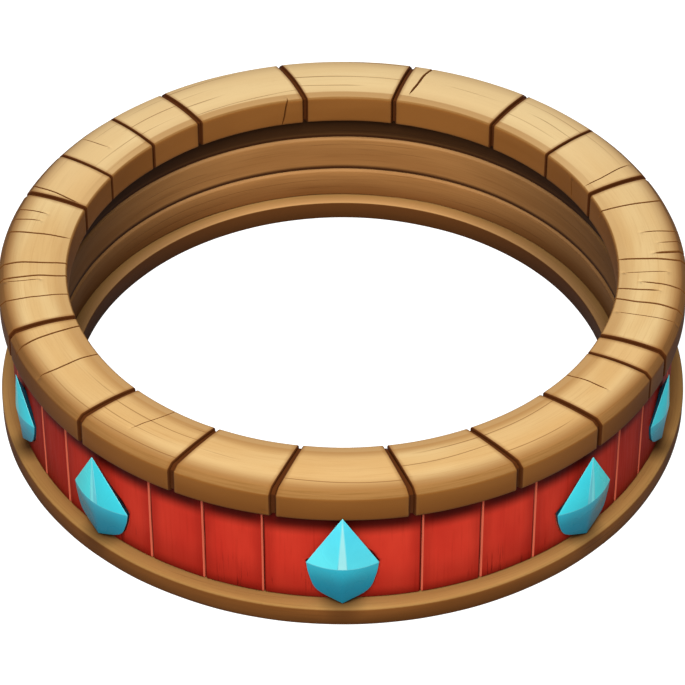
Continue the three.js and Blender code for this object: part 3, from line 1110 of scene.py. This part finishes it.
def gem_corners(node):
    """A CAD gem's middle angle and its named corners, turned to the front of the ring."""
    start, end = angle_span(node)
    middle = (start + end) / 2
    corners = [at(angle - middle, radius, height) for angle, radius, height in node_points(node)]
    back_depth = max(corner.y for corner in corners)
    back = [corner for corner in corners if corner.y > back_depth - TOLERANCE]
    front = [corner for corner in corners if corner.y <= back_depth - TOLERANCE]
    crest = min(corners, key=lambda corner: corner.y)
    tip = min(corners, key=lambda corner: corner.z)
    side = [max(corners, key=lambda corner: corner.x)]
    for corner in sorted(front, key=lambda corner: -corner.z):
        below = side[-1].z - corner.z
        if corner.x > TOLERANCE and below > TOLERANCE and corner.z > tip.z + TOLERANCE:
            side.append(corner)
    return middle, {
        "apex": max(corners, key=lambda corner: corner.z),
        "crest": crest,
        "tip": tip,
        "side": side,
        "back_depth": back_depth,
        "back_foot": min(back, key=lambda corner: corner.z),
    }


def smooth_run(points, steps):
    """Points of a Catmull-Rom curve through the given points."""
    padded = [points[0] * 2 - points[1], *points, points[-1] * 2 - points[-2]]
    run = []
    for before, start, end, after in zip(padded, padded[1:], padded[2:], padded[3:]):
        for step in range(steps):
            t = step / steps
            bend = start * 2 + (end - before) * t
            bend += (before * 2 - start * 5 + end * 4 - after) * t * t
            bend += (start * 3 - before - end * 3 + after) * t * t * t
            run.append(bend / 2)
    return [*run, points[-1]]


def gem_rows(corner):
    """Rows of points on half of the gem's belly, from the waist down to just above the tip."""
    crest, tip = corner["crest"], corner["tip"]
    edge = smooth_run([*corner["side"], tip], GEM_ROUND_STEPS)[:-1]
    rows = []
    for end in edge:
        drop = (crest.z - end.z) / (crest.z - tip.z)
        ridge = crest.lerp(tip, drop)
        bow = 2 - 0.8 * min(1.0, drop * 2)
        row = []
        for across in GEM_SHARES:
            row.append(Vector((end.x * across, ridge.y + (end.y - ridge.y) * across ** bow, end.z)))
        rows.append(row)
    return rows


def gem_mesh(corner):
    """Corners, faces and facet numbers of a gem.

    The facets are the belly, the upper ones above the waist with the strip up their middle, the
    flank around the back's edge and the flat back.
    """
    vertices = []
    index_of = {}

    def vertex(point):
        key = tuple(round(value / MM, 3) for value in point)
        if key not in index_of:
            index_of[key] = len(vertices)
            vertices.append(point)
        return index_of[key]

    faces = []
    facets = []

    def both_sides(points, facet):
        mirrored = [Vector((-point.x, point.y, point.z)) for point in reversed(points)]
        for side, loop in ((1, points), (-1, mirrored)):
            faces.append([vertex(point) for point in loop])
            facets.append(side * facet)

    rows = gem_rows(corner)
    for across, one, two in zip(GEM_SHARES, rows[0], rows[0][1:]):
        both_sides([corner["apex"], one, two], STRIP if across < GEM_STRIP else UPPER)
    for high, low in zip(rows, rows[1:]):
        for column in range(len(GEM_SHARES) - 1):
            both_sides([high[column], low[column], low[column + 1], high[column + 1]], BELLY)
    for one, two in zip(rows[-1], rows[-1][1:]):
        both_sides([one, corner["tip"], two], BELLY)
    behind = gem_back_edge(corner, rows)
    edge = [corner["apex"], *[row[-1] for row in rows], corner["tip"]]
    for one, two, far_one, far_two in zip(edge, edge[1:], behind, behind[1:]):
        both_sides([one, far_one, far_two, two], FLANK)
    loop = [vertex(point) for point in behind]
    loop += [vertex(Vector((-point.x, point.y, point.z))) for point in behind[-2:0:-1]]
    faces.append(loop[::-1])
    facets.append(BACK)
    return vertices, faces, facets


def gem_back_edge(corner, rows):
    """The edge of the gem's flat back on one side, from its top down to its foot."""
    waist, foot = corner["crest"].z, corner["back_foot"].z
    shrink = (waist - foot) / (waist - corner["tip"].z)
    depth = corner["back_depth"]
    top = waist + (corner["apex"].z - waist) * GEM_BACK_RISE
    behind = [Vector((0, depth, top))]
    for row in rows:
        end = row[-1]
        behind.append(Vector((end.x * shrink, depth, waist + (end.z - waist) * shrink)))
    behind.append(Vector((0, depth, foot)))
    return behind


def gem_work(middle, corner):
    """A gem's bmesh in its place, with its facet numbers on a face layer."""
    vertices, faces, facets = gem_mesh(corner)
    work = bmesh.new()
    layer = work.faces.layers.float.new("facet")
    placed = []
    for x, y, height in vertices:
        placed.append(work.verts.new(at(middle + math.atan2(x, -y), math.hypot(x, y), height)))
    for face, facet in zip(faces, facets):
        work.faces.new([placed[index] for index in face])[layer] = facet
    bmesh.ops.recalc_face_normals(work, faces=work.faces)
    return work


def build_gem(node, material, arris):
    """A drop with a smooth belly, a sharp waist, a strip up its front and broken edges."""
    work = gem_work(*gem_corners(node))
    layer = work.faces.layers.float["facet"]
    edges = []
    for edge in work.edges:
        one, two = edge.link_faces
        if abs(abs(one[layer]) - abs(two[layer])) > 0.5:
            edges.append(edge)
    bmesh.ops.bevel(
        work, geom=edges, offset=GEM_ARRIS, segments=2, profile=0.5, affect="EDGES", material=1,
    )
    piece = new_piece(node, "_cut", [], [], material)
    piece.data.materials.append(arris)
    work.to_mesh(piece.data)
    work.free()
    piece.data.shade_smooth()
    piece.data.set_sharp_from_angle(angle=GEM_SHARP_ANGLE)


def grown(corner, gap):
    """A gem's corners moved out by a gap, for the pocket that it sits in."""
    half_width = corner["side"][0].x
    waist = corner["crest"].z
    scale = 1 + gap / half_width

    def moved(point):
        return Vector((point.x * scale, point.y, waist + (point.z - waist) * scale))

    return {
        **{name: moved(corner[name]) for name in ("apex", "crest", "tip", "back_foot")},
        "side": [moved(point) for point in corner["side"]],
        "back_depth": corner["back_depth"] + gap,
    }


def cut_pocket(plank, gem):
    """Cuts a gem's pocket out of a plank, slightly larger than the gem."""
    middle, corner = gem_corners(gem)
    work = gem_work(middle, grown(corner, POCKET_GAP))
    shape = bpy.data.meshes.new("pocket")
    work.to_mesh(shape)
    work.free()
    cutter = bpy.data.objects.new("pocket", shape)
    bpy.context.scene.collection.objects.link(cutter)
    cut = plank.modifiers.new("pocket", "BOOLEAN")
    cut.operation = "DIFFERENCE"
    cut.solver = "EXACT"
    cut.object = cutter
    depsgraph = bpy.context.evaluated_depsgraph_get()
    result = bpy.data.meshes.new_from_object(
        plank.evaluated_get(depsgraph), preserve_all_data_layers=True, depsgraph=depsgraph,
    )
    plank.modifiers.clear()
    plank.data = result
    bpy.data.objects.remove(cutter)
    plank.data.set_sharp_from_angle(angle=SHARP_ANGLE)


def is_between(angle, start, end):
    """Whether an angle around the ring lies after start and before end."""
    return math.remainder(angle - start, TURN) > 0 > math.remainder(angle - end, TURN)


def build_gems(planks):
    """The gems, and a pocket for each in the plank behind it."""
    material = gem_acrylic()
    arris = gem_arris()
    for node in nodes_called("gem"):
        build_gem(node, material, arris)
        middle = sum(angle_span(node)) / 2
        for start, end, plank in planks:
            if is_between(middle, start, end):
                cut_pocket(plank, node)


# ---- Stage ----

FLOOR_SIZE = 12
FLOOR_SHADE = 0.3
FLOOR_LIFT = 1.0                # extra brightness of the floor, to the camera only
WHITE = (1, 1, 1, 1)
SKY_STRENGTH = 0.26
# Each light: name, place, size and power.
LIGHTS = (
    ("key", (-0.15, -1.05, 1.4), 0.8, 26),
    ("top", (0.0, -0.3, 1.6), 1.2, 10),
)
CAMERA_ELEVATION = 40.56 * DEG
CAMERA_DISTANCE = 4.98          # in widths of the ring
CAMERA_AIM = 0.339              # height it looks at, as a share of the ring's
SENSOR_MM = 36
LENS_MM = 179.1


def build_stage():
    """A pale floor. It shows to the camera brighter than it lights the ring."""
    bpy.ops.mesh.primitive_plane_add(size=FLOOR_SIZE, location=(0, 0, cad_box[0][2]))
    floor = bpy.context.object
    floor.name = "floor"
    tree = Tree("floor")
    tree.finish((*[FLOOR_SHADE] * 3, 1), 0.9)
    tree.shader.inputs["Emission Color"].default_value = WHITE
    seen = tree.new("LightPath").outputs["Is Camera Ray"]
    tree.put(tree.times(seen, FLOOR_LIFT), tree.shader.inputs["Emission Strength"])
    floor.data.materials.append(tree.material)


def build_lights():
    """Soft studio light: an even white surround and two large lamps."""
    world = bpy.data.worlds.new("studio")
    bpy.context.scene.world = world
    world.use_nodes = True
    colour_input, strength_input = world.node_tree.nodes["Background"].inputs[:2]
    colour_input.default_value = WHITE
    strength_input.default_value = SKY_STRENGTH
    for name, place, size, power in LIGHTS:
        light = bpy.data.lights.new(name, "AREA")
        light.shape = "DISK"
        light.size = size
        light.energy = power
        lamp = bpy.data.objects.new(name, light)
        lamp.location = place
        lamp.rotation_euler = (-Vector(place)).to_track_quat("-Z", "Y").to_euler()
        bpy.context.scene.collection.objects.link(lamp)


def build_camera():
    """A long lens at the front, looking down at the ring."""
    distance = CAMERA_DISTANCE * (cad_box[1][0] - cad_box[0][0])
    target = Vector((0, 0, CAMERA_AIM * cad_box[1][2]))
    away = Vector((0, -math.cos(CAMERA_ELEVATION), math.sin(CAMERA_ELEVATION)))
    camera = bpy.data.cameras.new("camera")
    camera.sensor_width = SENSOR_MM
    camera.lens = LENS_MM
    eye = bpy.data.objects.new("camera", camera)
    eye.location = target + away * distance
    eye.rotation_euler = (-away).to_track_quat("-Z", "Y").to_euler()
    bpy.context.scene.collection.objects.link(eye)
    bpy.context.scene.camera = eye
    bpy.context.scene.view_settings.view_transform = "Standard"


build_base_ring(base_wood())
hoop_material = hoop_wood()
for hoop in ("lower_hoop", "middle_hoop", "upper_hoop"):
    build_hoop(hoop, hoop_material)
inner_material = inner_wood()
build_core_ring(inner_material)
build_deck_ring(inner_material)
build_rim(rim_wood())
build_gems(build_planks(red_paint()))
build_stage()
build_lights()
build_camera()
